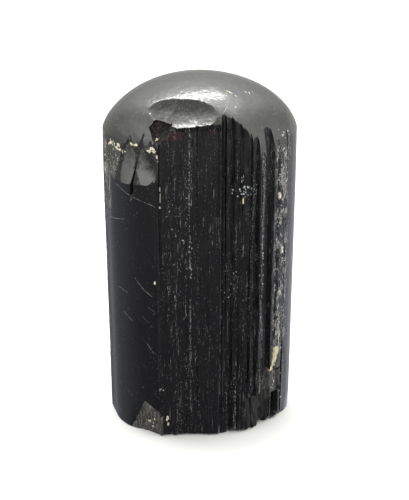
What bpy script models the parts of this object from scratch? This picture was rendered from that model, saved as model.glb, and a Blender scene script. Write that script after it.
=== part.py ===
"""A black tourmaline crystal (schorl): a grooved natural column with a sawn foot and a polished dome.

Metres, +Z up. The crystal stands on Z = 0, its bounding box centred on the Z axis, its front towards -Y.
A bearing is an angle round the Z axis as seen from above: 0 is the front, 90 the right side (+X).
The column is lofted through level sections. The dome, the scoop, the chips and the ledges are cut from it.
"""

import math
import random

import bmesh
import bpy
from mathutils import Matrix, Vector, noise

# The polished dome: a quarter of a stretched ball, whose sides are straight below SPRING_Z.
DOME_HALF_WIDTH = 0.0269
DOME_FRONT_REACH = 0.0250
DOME_BACK_REACH = 0.0218
DOME_SPRING_Z = 0.0812
DOME_RISE = 0.0175
DOME_FULLNESS = 2.03
DOME_SEGMENTS = 88
DOME_RINGS = 32
DOME_POLE = 0.9999
SKIRT_DEPTH = 0.100
SKIRT_STRAIGHT = 0.014
SKIRT_FLARE = 0.25

# Flats that the polishing wore into the dome: bearing, its half width, height, its half height, depth.
DOME_FLATS = [
    (54.0, 36.0, 0.0840, 0.0150, 0.0027),
    (-50.0, 38.0, 0.0822, 0.0128, 0.0024),
    (-112.0, 46.0, 0.0920, 0.0085, 0.0010),
    (122.0, 44.0, 0.0915, 0.0090, 0.0008),
]

# A shallow shell-shaped scoop on the front of the dome.
SCOOP_BEARING = -10.5
SCOOP_RADIUS = 0.0196
SCOOP_Z = 0.0920
SCOOP_ELEVATION = 45.0
SCOOP_ROLL = 6.0
SCOOP_DEPTH = 0.0012
SCOOP_HALF_AXES = Vector((0.0900, 0.0180, 0.0180))
SCOOP_SEGMENTS = 72

# The column's plan at TAPER_END_Z, as bearing in degrees to radius in metres, before any rib or groove.
PLAN = [
    (-170, 0.0213),
    (-150, 0.0222),
    (-128, 0.0246),
    (-108, 0.0262),
    (-90, 0.0266),
    (-76, 0.0263),
    (-62, 0.0262),
    (-48, 0.0257),
    (-36, 0.0251),
    (-26, 0.0239),
    (-10, 0.0219),
    (0, 0.0216),
    (9, 0.0220),
    (15, 0.0219),
    (20, 0.0208),
    (26, 0.0214),
    (34, 0.0230),
    (42, 0.0233),
    (52, 0.0236),
    (63, 0.0244),
    (76, 0.0256),
    (92, 0.0267),
    (110, 0.0260),
    (128, 0.0242),
    (150, 0.0223),
    (172, 0.0212),
]
TAPER_END_Z = 0.085
BASE_TAPER_X = 0.962
BASE_TAPER_Y = 0.995
COLUMN_TOP_Z = 0.103
BASE_BEVEL = 0.0007

# Ribs and grooves that run the length of the column: from bearing, to bearing, how far they stand proud.
FRONT_RIBS = [
    (-84.0, -74.5, 0.0000),
    (-74.5, -73.5, -0.0004),
    (-73.5, -58.2, 0.0001),
    (-58.2, -57.2, -0.0003),
    (-57.2, -31.0, 0.0001),
    (-31.0, -29.8, -0.0002),
    (-29.8, -27.0, 0.0002),
    (-27.0, -25.4, -0.0006),
    (-25.4, -18.8, 0.0000),
    (-18.8, -17.0, -0.0003),
    (-17.0, -11.0, 0.0001),
    (-11.0, -9.6, -0.0001),
    (-9.6, -2.6, 0.0001),
    (-2.6, -1.4, -0.0002),
    (-1.4, 4.6, 0.0000),
    (4.6, 6.4, -0.0002),
    (6.4, 12.8, 0.0001),
    (12.8, 13.8, -0.0004),
    (13.8, 16.2, 0.0001),
    (16.2, 19.6, -0.0023),
    (19.6, 23.6, 0.0001),
    (23.6, 24.8, -0.0004),
    (24.8, 28.6, 0.0002),
    (28.6, 30.0, -0.0003),
    (30.0, 35.0, 0.0002),
    (35.0, 36.4, -0.0006),
    (36.4, 40.6, 0.0001),
    (40.6, 42.4, -0.0005),
    (42.4, 48.4, 0.0005),
    (48.4, 56.8, -0.0011),
    (56.8, 61.0, 0.0001),
    (61.0, 62.6, -0.0004),
    (62.6, 70.0, 0.0003),
    (70.0, 71.4, -0.0004),
    (71.4, 76.2, 0.0001),
    (76.2, 77.6, -0.0006),
    (77.6, 90.0, 0.0001),
]
BACK_RIB_WIDTH = (2.0, 12.0)
BACK_GROOVE_WIDTH = (1.0, 3.2)
BACK_RIB_PROUD = (-0.0006, 0.0004)
BACK_GROOVE_DEPTH = (0.0003, 0.0012)
RIB_WALL_DEG = 0.4
WIDEST_FACE_DEG = 6.0
RIB_SEED = 7

# The front panel hangs back under the lip of the dome.
LIP_Z = 0.0886
LIP_STEP = 0.0004
LIP_OVERHANG = 0.0006
LIP_BEARINGS = (-17.2, 16.2)

LEVELS = [0.004, 0.011, 0.020, 0.032, 0.046, 0.060, 0.074, LIP_Z - LIP_STEP, LIP_Z, COLUMN_TOP_Z]
LEVEL_WAVER = 0.00022
LEVEL_WAVE_LENGTH = 0.024
RIB_WAVE_STEP = 1.7

# Where the sawn base broke away at its rim: from bearing, to bearing, height of the break.
RIM_BREAKS = [
    (-90, -50, 0.0003),
    (19, 36, 0.0008),
    (36, 60, 0.0015),
    (60, 90, 0.0008),
    (120, 150, 0.0016),
    (-164, -146, 0.0022),
]
RIM_SCATTER = (0.00012, 0.00048)
RIM_BREAK_REACH = 1 / 3

# Broken hollows: name, bearing, radius and height of the middle, half width, half depth, half height, tilt.
CHIPS = [
    ("pit_cutter", -26.2, 0.0243, 0.0880, 0.0036, 0.0026, 0.0034, 20),
    ("pit_end_cutter", -20.6, 0.0232, 0.0898, 0.0019, 0.0020, 0.0016, 30),
    ("corner_chip_cutter", -37.5, 0.0268, -0.0010, 0.0066, 0.0042, 0.0108, -4),
    ("small_chip_cutter", -20.6, 0.0238, -0.0005, 0.0015, 0.0018, 0.0060, 0),
    ("back_chip_cutter", 166.0, 0.0222, -0.0010, 0.0070, 0.0030, 0.0085, 0),
]

# Broken ledges at the lower right: name, bearing, radius of the inner wall, bottom, top, width, lean.
LEDGES = [
    ("ledge_cutter", 60.0, 0.0232, 0.0085, 0.0158, 0.0068, 2.0),
    ("recess_cutter", 46.5, 0.0214, -0.0010, 0.0100, 0.0088, 5.0),
    ("notch_cutter", 63.0, 0.0212, 0.0008, 0.0086, 0.0036, 4.0),
]
LEDGE_CUTTER_DEPTH = 0.012


def clear_scene():
    for old in list(bpy.data.objects):
        bpy.data.objects.remove(old)


def new_collection(name):
    made = bpy.data.collections.new(name)
    bpy.context.scene.collection.children.link(made)
    return made


def move_to(thing, collection):
    for old in list(thing.users_collection):
        old.objects.unlink(thing)
    collection.objects.link(thing)


def outward(bearing):
    """The level unit vector that points along a bearing."""
    angle = math.radians(bearing)
    return Vector((math.sin(angle), -math.cos(angle), 0))


def wrapped(bearing):
    """The bearing brought between -180 and 180."""
    return (bearing + 180) % 360 - 180


def plan_radius(bearing):
    """The plan's radius, by a closed Catmull-Rom curve through PLAN."""
    bearing = wrapped(bearing)
    after = next((i for i, (at, _) in enumerate(PLAN) if at > bearing), 0)
    points = [PLAN[(after + k) % len(PLAN)] for k in (-2, -1, 0, 1)]
    span = (points[2][0] - points[1][0]) % 360
    t = ((bearing - points[1][0]) % 360) / span
    r0, r1, r2, r3 = (radius for _, radius in points)
    return 0.5 * (
        2 * r1
        + (r2 - r0) * t
        + (2 * r0 - 5 * r1 + 4 * r2 - r3) * t * t
        + (3 * r1 - r0 - 3 * r2 + r3) * t * t * t
    )


def back_ribs(chance):
    """Ribs and grooves by turns, round the back from the last front rib to the first."""
    ribs = []
    bearing = FRONT_RIBS[-1][1]
    end = FRONT_RIBS[0][0] + 360
    groove = True
    while bearing < end:
        width = chance.uniform(*(BACK_GROOVE_WIDTH if groove else BACK_RIB_WIDTH))
        to = end if end - bearing - width < BACK_RIB_WIDTH[0] else bearing + width
        proud = -chance.uniform(*BACK_GROOVE_DEPTH) if groove else chance.uniform(*BACK_RIB_PROUD)
        ribs.append((bearing, to, proud))
        bearing = to
        groove = not groove
    return ribs


def column_lines(ribs):
    """The upright lines of the column, as (bearing, rib number, how far proud), in order round it."""
    lines = []
    for number, (start, end, proud) in enumerate(ribs):
        inner_start = start + RIB_WALL_DEG / 2
        inner_end = end - RIB_WALL_DEG / 2
        faces = max(1, math.ceil((inner_end - inner_start) / WIDEST_FACE_DEG))
        for k in range(faces + 1):
            lines.append((inner_start + (inner_end - inner_start) * k / faces, number, proud))
    return lines


def section(lines, z):
    """One level section of the column: a point for every line."""
    fall = max(1 - z / TAPER_END_Z, 0)
    taper_x = 1 - (1 - BASE_TAPER_X) * fall
    taper_y = 1 - (1 - BASE_TAPER_Y) * fall
    points = []
    for bearing, number, proud in lines:
        waver = LEVEL_WAVER * noise.noise(Vector((number * RIB_WAVE_STEP, 0, z / LEVEL_WAVE_LENGTH)))
        under_lip = LIP_BEARINGS[0] < bearing < LIP_BEARINGS[1] and z < LIP_Z
        radius = plan_radius(bearing) + proud + waver - (LIP_OVERHANG if under_lip else 0)
        flat = outward(bearing) * radius
        points.append(Vector((flat.x * taper_x, flat.y * taper_y, z)))
    return points


def rim_height(bearing, chance):
    """How high the rim of the base has broken away at this bearing."""
    broken = sum(height for start, end, height in RIM_BREAKS if start <= wrapped(bearing) <= end)
    return broken + chance.uniform(*RIM_SCATTER)


def base_rings(lines, chance):
    """The flat foot of the base and the broken rim round it."""
    rim = []
    foot = []
    heights = {}
    for line, point in zip(lines, section(lines, 0)):
        height = heights.setdefault(line[1], rim_height(line[0], chance))
        rim.append(Vector((point.x, point.y, height)))
        foot.append(point - outward(line[0]) * (BASE_BEVEL + height * RIM_BREAK_REACH))
    return [foot, rim]


def build_column(collection):
    """The natural column: a closed loft through its level sections."""
    chance = random.Random(RIB_SEED)
    lines = column_lines(FRONT_RIBS + back_ribs(chance))
    rings = base_rings(lines, chance) + [section(lines, z) for z in LEVELS]
    shape = bmesh.new()
    rows = [[shape.verts.new(point) for point in ring] for ring in rings]
    for lower, upper in zip(rows, rows[1:]):
        for k in range(len(lines)):
            after = (k + 1) % len(lines)
            shape.faces.new((lower[k], lower[after], upper[after], upper[k]))
    shape.faces.new(reversed(rows[0]))
    shape.faces.new(rows[-1])
    mesh = bpy.data.meshes.new("tourmaline_crystal")
    shape.to_mesh(mesh)
    shape.free()
    column = bpy.data.objects.new("tourmaline_crystal", mesh)
    collection.objects.link(column)
    return column


def bump(distance, half_width):
    """1 in the middle, falling smoothly to 0 at half_width."""
    t = min(abs(distance) / half_width, 1)
    return (1 - t * t) ** 2


def worn_away(bearing, z):
    """How much the polishing took off the dome here."""
    return sum(
        depth * bump(wrapped(bearing - at), half_width) * bump(z - height, half_height)
        for at, half_width, height, half_height, depth in DOME_FLATS
    )


def dome_point(unit):
    """Where a point of a unit ball goes: its upper half to the dome, its lower half to a flared skirt."""
    bearing = math.degrees(math.atan2(unit.x, -unit.y))
    flat = outward(bearing)
    reach = DOME_FRONT_REACH if flat.y < 0 else DOME_BACK_REACH
    full = 1 / math.hypot(flat.x / DOME_HALF_WIDTH, flat.y / reach)
    if abs(unit.z) > DOME_POLE:
        full = 0
    if unit.z >= 0:
        z = DOME_SPRING_Z + DOME_RISE * unit.z
        share = max(1 - unit.z**DOME_FULLNESS, 0) ** (1 / DOME_FULLNESS)
    else:
        z = DOME_SPRING_Z + SKIRT_DEPTH * unit.z
        share = 1 + SKIRT_FLARE * max(-unit.z - SKIRT_STRAIGHT / SKIRT_DEPTH, 0)
    radius = full * share
    radius -= min(worn_away(bearing, z), radius / 2)
    return flat * radius + Vector((0, 0, z))


def dome_blank(collection):
    """The solid that the column is polished down to, made from a ball."""
    bpy.ops.mesh.primitive_uv_sphere_add(segments=DOME_SEGMENTS, ring_count=DOME_RINGS, radius=1)
    blank = bpy.context.active_object
    blank.name = "dome_blank"
    for vertex in blank.data.vertices:
        vertex.co = dome_point(vertex.co.copy())
    blank.data.shade_smooth()
    move_to(blank, collection)
    return blank


def scoop_cutter(collection):
    """A flattened ball that leaves the scoop's hollow."""
    bpy.ops.mesh.primitive_uv_sphere_add(segments=SCOOP_SEGMENTS, ring_count=SCOOP_SEGMENTS, radius=1)
    ball = bpy.context.active_object
    ball.name = "scoop_cutter"
    rise = math.radians(SCOOP_ELEVATION)
    toward = outward(SCOOP_BEARING) * math.cos(rise) + Vector((0, 0, math.sin(rise)))
    middle = outward(SCOOP_BEARING) * SCOOP_RADIUS + Vector((0, 0, SCOOP_Z))
    centre = middle + toward * (SCOOP_HALF_AXES.z - SCOOP_DEPTH)
    turn = Matrix.Rotation(math.radians(SCOOP_BEARING), 4, "Z")
    lean = Matrix.Rotation(math.radians(90) - rise, 4, "X")
    roll = Matrix.Rotation(math.radians(SCOOP_ROLL), 4, "Z")
    size = Matrix.Diagonal((*SCOOP_HALF_AXES, 1))
    ball.data.transform(Matrix.Translation(centre) @ turn @ lean @ roll @ size)
    ball.data.shade_smooth()
    move_to(ball, collection)
    return ball


def chip_cutter(name, bearing, radius, z, half_width, half_depth, half_height, tilt, collection):
    """A faceted lump that leaves a broken hollow. tilt leans its top inwards, in degrees."""
    bpy.ops.mesh.primitive_ico_sphere_add(subdivisions=2, radius=1)
    lump = bpy.context.active_object
    lump.name = name
    place = Matrix.Translation(outward(bearing) * radius + Vector((0, 0, z)))
    turn = Matrix.Rotation(math.radians(bearing), 4, "Z")
    lean = Matrix.Rotation(math.radians(-tilt), 4, "X")
    lump.data.transform(place @ turn @ lean @ Matrix.Diagonal((half_width, half_depth, half_height, 1)))
    move_to(lump, collection)
    return lump


def ledge_cutter(name, bearing, inner_radius, low, high, width, lean, collection):
    """A block whose inner wall stands at inner_radius, with its foot leaning outwards by lean degrees."""
    bpy.ops.mesh.primitive_cube_add(size=1)
    block = bpy.context.active_object
    block.name = name
    size = Matrix.Diagonal((width, LEDGE_CUTTER_DEPTH, high - low, 1))
    place = Matrix.Translation((0, -inner_radius - LEDGE_CUTTER_DEPTH / 2, (low + high) / 2))
    hinge = Matrix.Translation((0, -inner_radius, high))
    lean_about = hinge @ Matrix.Rotation(math.radians(-lean), 4, "X") @ hinge.inverted()
    block.data.transform(Matrix.Rotation(math.radians(bearing), 4, "Z") @ lean_about @ place @ size)
    move_to(block, collection)
    return block


def cut(solid, cutter, operation):
    cutter.hide_render = True
    cutter.display_type = "WIRE"
    boolean = solid.modifiers.new(cutter.name, "BOOLEAN")
    boolean.operation = operation
    boolean.object = cutter
    boolean.solver = "EXACT"


def schorl():
    """Black tourmaline."""
    material = bpy.data.materials.new("schorl")
    material.use_nodes = True
    shader = material.node_tree.nodes["Principled BSDF"]
    shader.inputs["Base Color"].default_value = (0.012, 0.012, 0.013, 1)
    shader.inputs["Roughness"].default_value = 0.28
    shader.inputs["Metallic"].default_value = 0
    shader.inputs["IOR"].default_value = 1.64
    return material


def stand_on_origin(solid, others):
    """Moves the solid and its cutters together, to centre the solid's bounding box on the Z axis."""
    bpy.context.view_layer.update()
    cut_solid = solid.evaluated_get(bpy.context.evaluated_depsgraph_get())
    corners = [Vector(corner) for corner in cut_solid.bound_box]
    low = Vector(map(min, *corners))
    high = Vector(map(max, *corners))
    middle = (low + high) / 2
    shift = Vector((-middle.x, -middle.y, -low.z))
    for thing in [solid, *others]:
        thing.location = shift


def main():
    clear_scene()
    parts = new_collection("tourmaline crystal")
    cutters = new_collection("cutters")
    crystal = build_column(parts)
    crystal.data.materials.append(schorl())
    cut(crystal, dome_blank(cutters), "INTERSECT")
    cut(crystal, scoop_cutter(cutters), "DIFFERENCE")
    for chip in CHIPS:
        cut(crystal, chip_cutter(*chip, cutters), "DIFFERENCE")
    for ledge in LEDGES:
        cut(crystal, ledge_cutter(*ledge, cutters), "DIFFERENCE")
    stand_on_origin(crystal, list(cutters.objects))


main()
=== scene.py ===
"""A black tourmaline crystal on a pale floor: a grooved natural column with a polished dome.

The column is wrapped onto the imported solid, given its fine ribs, and cut down by a smooth dome.
A bearing is an angle in degrees round the column as seen from above: 0 is the front, 90 the right side.
Shapes are in metres. Patterns are worked out in millimetres and degrees.
"""

import math
import random

import bpy
from mathutils import Matrix, Vector
from mathutils.bvhtree import BVHTree


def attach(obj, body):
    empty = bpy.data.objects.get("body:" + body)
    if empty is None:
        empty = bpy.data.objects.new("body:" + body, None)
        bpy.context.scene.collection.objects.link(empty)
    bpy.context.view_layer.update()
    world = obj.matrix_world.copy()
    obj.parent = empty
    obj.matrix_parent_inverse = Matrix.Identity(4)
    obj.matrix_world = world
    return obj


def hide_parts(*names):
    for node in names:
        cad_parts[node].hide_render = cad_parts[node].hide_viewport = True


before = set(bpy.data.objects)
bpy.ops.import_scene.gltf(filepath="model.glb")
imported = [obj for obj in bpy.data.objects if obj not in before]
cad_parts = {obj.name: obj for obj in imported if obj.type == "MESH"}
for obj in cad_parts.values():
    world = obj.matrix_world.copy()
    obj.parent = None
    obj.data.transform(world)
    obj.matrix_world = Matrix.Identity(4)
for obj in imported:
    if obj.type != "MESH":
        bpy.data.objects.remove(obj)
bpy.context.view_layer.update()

CRYSTAL_NODE = "tourmaline_crystal"
AXIS = Vector((0.00003, 0.00016, 0))
DEGREES = 180 / math.pi
MM = 0.001
MM_PER_DEGREE = 0.44

SCHORL_IOR = 1.64
MICA_IOR = 1.55
SMOOTH_ANGLE = 38

# The column's mesh: how many upright lines it has, and its bands as top height and number of rows.
COLUMN_LINES = 560
WRAP_RADIUS = 0.034
FOOT_GAP = 0.00005
WRAPPED_BANDS = [(0.0175, 42), (0.0700, 52)]
STRAIGHT_BANDS = [(0.0960, 34), (0.1020, 1)]

# The dome, as in the solid: a stretched quarter ball over straight sides.
DOME_HALF_WIDTH = 26.9
DOME_FRONT_REACH = 25.0
DOME_BACK_REACH = 21.8
DOME_SPRING = 81.2
DOME_RISE = 17.5
DOME_FULLNESS = 2.03
DOME_SEGMENTS = 200
DOME_RINGS = 104
SKIRT_DEPTH = 100.0
SKIRT_STRAIGHT = 14.0
SKIRT_FLARE = 0.25
POLE_BAND = (0.9999, 0.9998)

# Flats that the polishing wore into the dome: bearing, its half width, height, its half height, depth.
DOME_FLATS = [
    (54.0, 36.0, 84.0, 15.0, 2.7),
    (-50.0, 38.0, 82.2, 12.8, 2.4),
    (-31.0, 9.0, 76.0, 8.0, 0.7),
    (-112.0, 46.0, 92.0, 8.5, 1.0),
    (122.0, 44.0, 91.5, 9.0, 0.8),
]

# The scoop on the front of the dome, and the shallow one that squares its left end:
# bearing, radius, height, elevation, roll, depth.
SCOOPS = [
    (-10.5, 0.0196, 0.0920, 46.0, 6.0, 0.0012),
    (-19.5, 0.0189, 0.0926, 44.5, 5.0, 0.0008),
]
SCOOP_HALF_LENGTH = 0.0600
SCOOP_HALF_WIDTH = 0.0180
SCOOP_SEGMENTS = 160
SCOOP_RINGS = 300

# How uneven the scoops and the pits are: millimetres, and lumps to a millimetre.
SCOOP_UNEVENNESS = (0.42, 0.20)
PIT_UNEVENNESS = (2.4, 0.55)

# The ragged pits left of the scoop: bearing, radius, height, half width, half depth, half height, lean.
PITS = [
    (-27.0, 0.0240, 0.0884, 0.0036, 0.0030, 0.0038, 20),
    (-20.6, 0.0232, 0.0898, 0.0019, 0.0020, 0.0016, 30),
]

# Where the front panel hangs back under the lip of the dome, which starts a little below the lip.
LIP_HEIGHT = 88.6
LIP_EDGE = 0.05
LIP_START = 2.0
LIP_OVERHANG = 0.6
LIP_BEARINGS = (-17.2, 16.2)

# The corner chip at the lower left, as bearing and height: its left foot, its top and its right shoulder.
CORNER_CHIP = [(-51.0, 0.0), (-38.0, 9.6), (-25.8, 5.8)]

# The main groove gets a higher floor than the plain solid's, from a bar: its bearing, its width, its depth,
# its length from the foot up, and how far out its face is halfway up. It leans in towards the top.
GROOVE_BEARING = 17.9
GROOVE_BAR = (0.0026, 0.0030, 0.0740)
GROOVE_FLOOR_RADIUS = 0.02043
GROOVE_LEAN = 0.26

# The left face and the right edge are plain, so the plain solid's ribs are smoothed away there: their
# bearings, and how far each is then raised to where the ribs' crests were, in millimetres.
PLAIN_FACES = [(-84.0, -30.5, 0.0), (71.5, 96.0, 0.34)]
PLAIN_FACE_PASSES = 220
PLAIN_FACE_EDGE = 3.0
PLAIN_FACE_INSET = 3.5

# Smaller grooves of the plain solid that are partly filled all the way: bearings, and how much, in mm.
GROOVE_EDGE = 0.25
SHALLOWER_GROOVES = [
    (17.3, 17.8, 0.30), (-27.4, -25.0, 0.62), (-19.2, -16.6, 0.30), (4.2, 6.8, 0.15), (12.4, 14.2, 0.45),
    (23.2, 25.2, 0.30), (28.2, 30.4, 0.30), (34.6, 36.8, 0.45), (40.2, 42.8, 0.38),
]

# Where the polish only just reached the left face: its lower edge, as bearing to height above a base, and
# two lobes that it reached below that, as bearing, height, half width in degrees and half height.
POLISH_EDGE_BASE = 60.0
POLISH_EDGE_SPAN = 30.0
POLISH_EDGE = [
    (-180, 0.0), (-62, 0.0), (-60, 20.5), (-57, 22.3), (-51, 24.6), (-47.5, 22.6), (-43, 22.6),
    (-40.2, 26.2), (-38.4, 23.0), (-35, 22.8), (-32.5, 25.2), (-30.8, 23.2), (-28.2, 27.0), (-24.5, 27.5),
    (-24, 0.0), (180, 0.0),
]
POLISHED_LOBES = [(-50.6, 76.6, 5.6, 6.0), (-34.4, 77.2, 8.2, 5.6)]

# The scuffed left end of the scoop, as bearing, height, half width in degrees and half height.
SCUFF = (-29.5, 91.5, 8.5, 1.9)

# The crack between the two lobes: its top, bend and foot, its half width in the shape and in the polish,
# and its depth.
CRACK = [(-39.2, 86.0), (-43.8, 78.0), (-45.5, 69.0)]
CRACK_HALF_WIDTH = 0.45
CRACK_SHADE_HALF_WIDTH = 0.40
CRACK_DEPTH = 1.6

# Scratches on the left face, each as two ends given as bearing and height.
SCRATCHES = [
    ((-60.0, 71.4), (-49.2, 69.7)),
    ((-49.2, 69.7), (-38.2, 68.5)),
    ((-38.2, 68.5), (-28.8, 67.3)),
    ((-73.5, 60.2), (-52.8, 62.0)),
    ((-59.5, 41.7), (-51.2, 41.1)),
    ((-43.8, 46.1), (-37.8, 43.5)),
    ((-37.8, 43.5), (-32.2, 41.8)),
    ((-39.2, 9.6), (-26.5, 6.7)),
    ((-54.8, 34.9), (-46.8, 33.2)),
    ((-36.0, 27.9), (-31.5, 25.0)),
]
SCRATCH_HALF_WIDTH = 0.10

# Lanes where pale specks gather, as bearing, half width and strength.
FRONT_LANES = [
    (-25.6, 0.5, 0.55), (-21.0, 0.9, 0.60), (-17.2, 0.8, 0.70), (-14.4, 0.8, 0.60), (-10.0, 0.9, 0.65),
    (-6.8, 1.1, 1.00), (-1.8, 0.8, 0.70), (2.2, 0.6, 0.50), (6.2, 0.6, 0.40), (15.2, 0.4, 0.75),
]
SIDE_LANES = [
    (21.5, 0.8, 0.55), (26.5, 1.4, 0.60), (31.5, 1.4, 0.45), (37.5, 1.2, 0.60), (45.6, 1.9, 1.00),
    (50.5, 0.5, 0.60), (54.5, 0.5, 0.50),
]
LANE_FLOOR = 0.14

# How far the natural side stands out or is broken away, in millimetres.
RIB_RELIEF = 0.42
SWELL_RELIEF = 1.3
PLATE_DEPTH = 0.16
BREAK_DEPTH = 0.22
CRUST_LUMPS = 0.75
CRUST_GRAIN = 0.30
PLAIN_GRAIN = 0.02
SPLINTERS = 0.6

# How broken the ledge and the recess are beside the corner chip.
LEDGE_SHARE = 0.62
RECESS_SHARE = 0.24

# Strengths round the column, as bearing to share. The first and last stops meet at the back.
FINE_RIBS = [
    (-180, 0.70), (-150, 0.90), (-120, 0.60), (-98, 0.35), (-90, 0.04), (-60, 0.02), (-30, 0.05),
    (-26, 0.40), (10, 0.34), (15, 0.30), (19, 0.75), (40, 1.00), (56, 0.90), (62, 0.60), (76, 0.30),
    (78, 0.06), (92, 0.08), (99, 0.60), (130, 1.00), (180, 0.70),
]
BROAD_RIBS = [
    (-180, 0.9), (-140, 1.0), (-100, 0.5), (-86, 0.0), (20, 0.0), (34, 0.5), (56, 0.5), (62, 0.1),
    (94, 0.1), (110, 0.8), (150, 1.0), (180, 0.9),
]
CRUST = [
    (-180, 0.10), (-168, 0.25), (-150, 0.05), (-100, 0.05), (-90, 0.35), (-82, 0.25), (-77, 0.05),
    (-60, 0.00), (55, 0.02), (58, 0.25), (61, 0.60), (63.2, 1.00), (67, 1.00), (70, 0.60), (74, 0.40),
    (77.5, 0.05), (92, 0.00), (118, 0.10), (128, 0.35), (140, 0.10), (180, 0.10),
]

# The patch of feldspar low on the right: ovals as bearing, height, half width in degrees, half height.
FELDSPAR_RAGGED = 2.0
FELDSPAR_PATCH = [
    (63.2, 21.3, 2.1, 1.40),
    (62.2, 19.5, 1.9, 1.60),
    (60.6, 17.7, 1.7, 1.20),
    (58.8, 16.6, 1.6, 0.65),
    (57.4, 16.2, 1.2, 0.34),
]

# Grains grown into the side: finish, bearing, height, half spread in degrees and in height, how many,
# half width and half height of each, and how much it leans at most.
GRAINS = [
    ("cream_mica", -69.0, 81.7, 3.0, 0.9, 9, 0.26, 0.40, 60),
    ("cream_mica", -63.0, 81.0, 2.5, 0.7, 8, 0.44, 0.26, 50),
    ("cream_mica", -48.0, 82.8, 3.2, 0.25, 7, 0.42, 0.16, 15),
    ("cream_mica", -31.5, 82.6, 3.0, 0.7, 12, 0.46, 0.24, 40),
    ("cream_mica", -28.5, 85.2, 1.2, 0.4, 3, 0.34, 0.16, 30),
    ("cream_mica", -27.0, 80.0, 0.8, 1.8, 4, 0.14, 0.34, 15),
    ("cream_mica", -57.0, 80.1, 2.0, 0.5, 4, 0.22, 0.16, 50),
    ("cream_mica", -79.0, 74.5, 2.5, 3.5, 10, 0.14, 0.30, 30),
    ("cream_mica", -86.0, 60.0, 2.0, 19.0, 34, 0.11, 0.22, 40),
    ("cream_mica", -86.0, 32.0, 2.0, 12.0, 14, 0.10, 0.18, 40),
    ("cream_mica", -26.0, 67.2, 0.1, 0.1, 1, 0.42, 0.46, 10),
    ("cream_mica", -25.9, 70.6, 0.15, 2.2, 4, 0.10, 0.80, 4),
    ("cream_mica", -29.8, 45.7, 0.1, 0.1, 1, 0.24, 0.44, 10),
    ("cream_mica", 63.0, 67.4, 0.6, 0.8, 3, 0.36, 0.50, 25),
    ("cream_mica", 67.0, 51.4, 0.6, 0.8, 2, 0.32, 0.52, 25),
    ("cream_mica", 64.4, 39.6, 0.7, 0.8, 4, 0.34, 0.44, 40),
    ("cream_mica", 61.0, 31.4, 0.8, 0.6, 3, 0.30, 0.30, 60),
    ("cream_mica", 65.2, 25.4, 0.5, 2.4, 5, 0.20, 0.60, 15),
    ("cream_mica", -34.5, 3.2, 3.0, 1.6, 7, 0.26, 0.18, 60),
    ("cream_mica", 63.2, 11.8, 0.4, 0.3, 2, 0.24, 0.30, 40),
    ("grey_mica", 66.0, 42.0, 6.5, 38.0, 90, 0.14, 0.30, 30),
    ("grey_mica", 68.0, 78.0, 4.5, 8.0, 22, 0.16, 0.30, 40),
    ("grey_mica", 45.6, 48.0, 1.6, 16.0, 26, 0.10, 0.26, 12),
    ("grey_mica", 32.5, 70.8, 8.5, 1.5, 40, 0.16, 0.22, 60),
    ("grey_mica", 30.2, 74.6, 0.5, 0.9, 4, 0.14, 0.40, 12),
    ("grey_mica", -6.8, 55.0, 1.0, 8.0, 18, 0.09, 0.18, 12),
    ("grey_mica", -14.0, 50.0, 6.5, 20.0, 22, 0.09, 0.16, 20),
    ("grey_mica", 25.0, 44.0, 7.0, 4.5, 14, 0.10, 0.20, 25),
    ("feldspar", 63.2, 20.6, 1.0, 1.6, 5, 0.24, 0.26, 60),
    ("feldspar", 61.0, 17.6, 1.2, 0.8, 4, 0.20, 0.26, 20),
    ("ochre", 30.5, 68.6, 0.1, 0.7, 3, 0.30, 0.62, 5),
    ("cream_mica", -22.8, 4.6, 0.8, 1.6, 5, 0.22, 0.36, 30),
    ("grey_mica", -26.2, 14.2, 1.0, 0.5, 5, 0.14, 0.26, 50),
]

# Grains on top of the dome: finish, bearing, distance from the axis, half width, half height, lean.
DOME_GRAINS = [
    ("cream_mica", 34.0, 14.0, 0.24, 0.80, 35),
    ("cream_mica", 37.5, 15.6, 0.16, 0.34, 20),
    ("cream_mica", 53.0, 15.2, 0.12, 0.42, 30),
    ("cream_mica", 56.0, 15.8, 0.12, 0.42, -35),
    ("cream_mica", 30.0, 18.6, 0.20, 0.26, 20),
    ("cream_mica", -39.0, 20.6, 0.22, 0.22, 0),
]

# How the grains are made: their share of thickness, how many shapes there are, how uneven each is, the range
# of their sizes, and from how far outside and above the stone they are set.
GRAIN_SEED = 31
GRAIN_THICKNESS = 0.38
GRAIN_SHAPES = 5
GRAIN_UNEVENNESS = 1.7
GRAIN_SIZES = (0.6, 1.35)
GRAIN_OUTSIDE = 0.05
GRAIN_ABOVE = 0.2

# Colours, as linear red, green, blue and alpha.
SCHORL_BLACK = (0.003, 0.003, 0.0035, 1)
# Painted reddish light for the two patches under the lip of the dome.
PAINTED_RED_LIGHT = (0.024, 0.006, 0.0045, 1)
THREAD_GREY = (0.140, 0.135, 0.122, 1)
SCRATCH_GREY = (0.24, 0.24, 0.23, 1)
MICA_DARK = (0.20, 0.195, 0.19, 1)
MICA_LIGHT = (0.44, 0.44, 0.43, 1)
MICA_TAN = (0.40, 0.37, 0.28, 1)
BUFF_DARK = (0.33, 0.29, 0.16, 1)
BUFF_LIGHT = (0.52, 0.48, 0.30, 1)
BROKEN_LIGHT = (0.080, 0.075, 0.064, 1)
BROKEN_GLINT = (0.20, 0.18, 0.15, 1)
# The recess colours are painted shade: darker copies of the broken stone's colours.
SHADED_RECESS_DARK = (0.0035, 0.0035, 0.0035, 1)
SHADED_RECESS_LIGHT = (0.030, 0.028, 0.025, 1)
POLISH_FOG = (0.028, 0.028, 0.025, 1)
POLISH_SPECK = (0.30, 0.29, 0.25, 1)
POLISH_MICA = (0.34, 0.33, 0.28, 1)
CRACK_BLACK = (0.002, 0.002, 0.002, 1)
DULL_BLACK = (0.004, 0.004, 0.004, 1)
PIT_BLACK = (0.003, 0.003, 0.003, 1)
PIT_BROWN = (0.022, 0.010, 0.008, 1)
PIT_GRAIN = (0.16, 0.15, 0.12, 1)
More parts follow.
